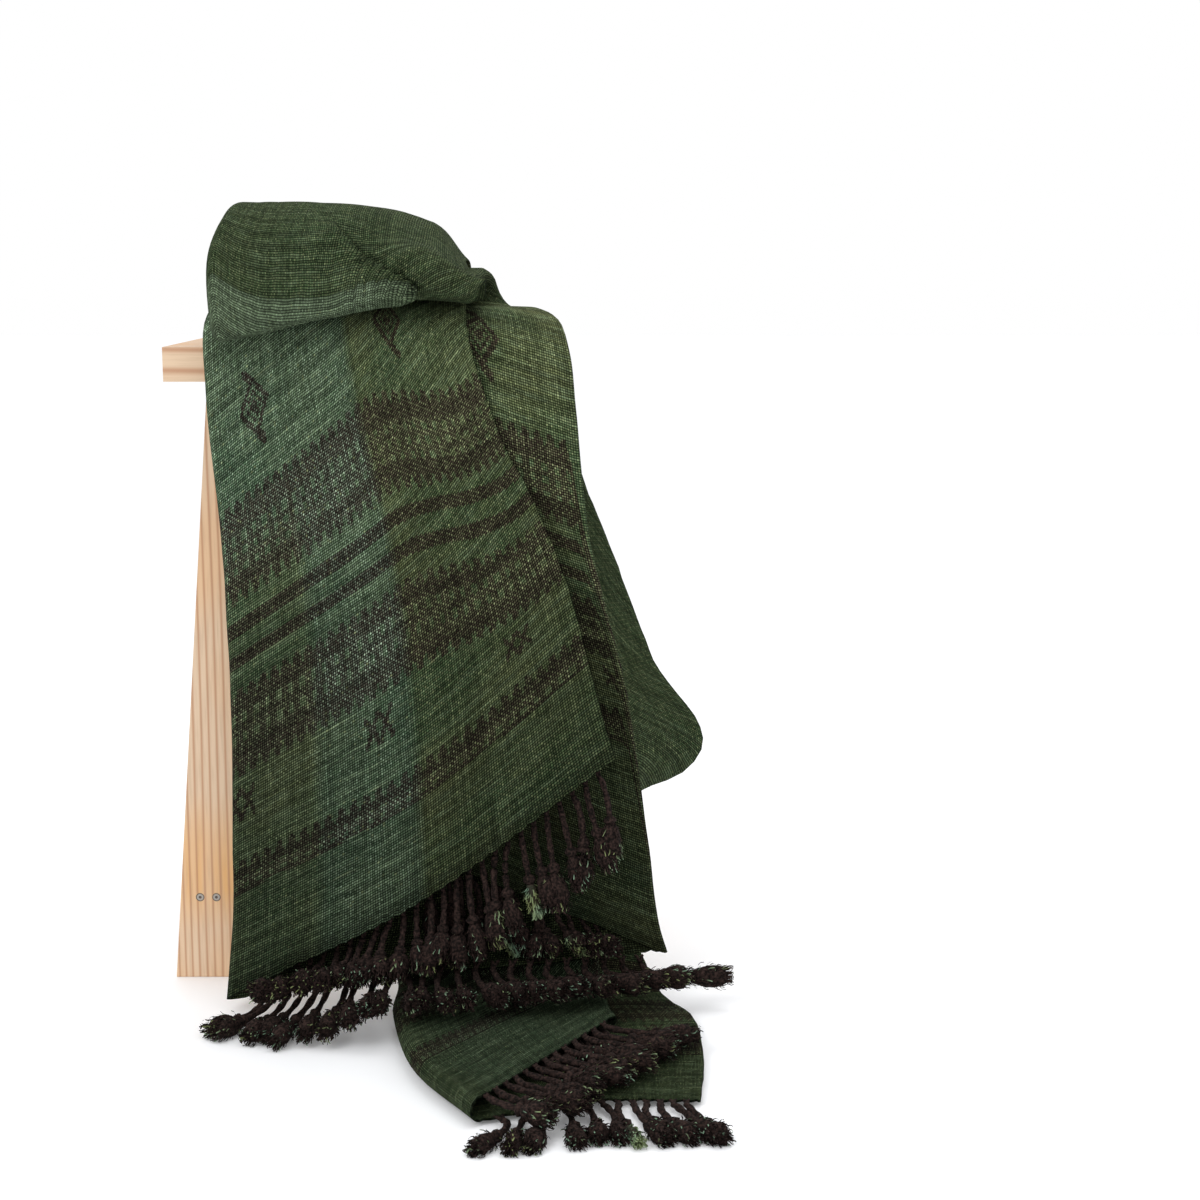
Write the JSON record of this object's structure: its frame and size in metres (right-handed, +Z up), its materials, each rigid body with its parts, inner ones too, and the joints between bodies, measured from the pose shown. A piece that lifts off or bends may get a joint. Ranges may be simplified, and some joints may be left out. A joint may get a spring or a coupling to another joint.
{
  "type": "wool throw blanket draped over a wooden stool",
  "caption": "Fringed wool throw folded lengthwise, puffed on top of a plain wooden stool and falling over its front edge to the floor.",
  "frame": {"origin": "on the floor, under the middle of the whole part's box", "axes": "+Z up, +Y from the front, where the throw hangs, to the back, +X to the viewer's right"},
  "size_m": [0.5326, 0.6774, 0.7537],
  "materials": {
    "pine": "plain oiled pine",
    "wool_green": "plain-woven wool, matte",
    "wool_dark": "twisted wool, matte"
  },
  "bodies": {
    "root": {"fringe_front_flap": "wool_dark", "fringe_front_inner": "wool_dark", "fringe_front_middle": "wool_dark", "fringe_rear_flap": "wool_dark", "fringe_rear_inner": "wool_dark", "fringe_rear_middle": "wool_dark", "leg_left_back": "pine", "leg_left_front": "pine", "leg_right_back": "pine", "leg_right_front": "pine", "rail_left_high": "pine", "rail_left_low": "pine", "rail_right_high": "pine", "rail_right_low": "pine", "seat": "pine", "throw": "wool_green"}
  },
  "joints": []
}
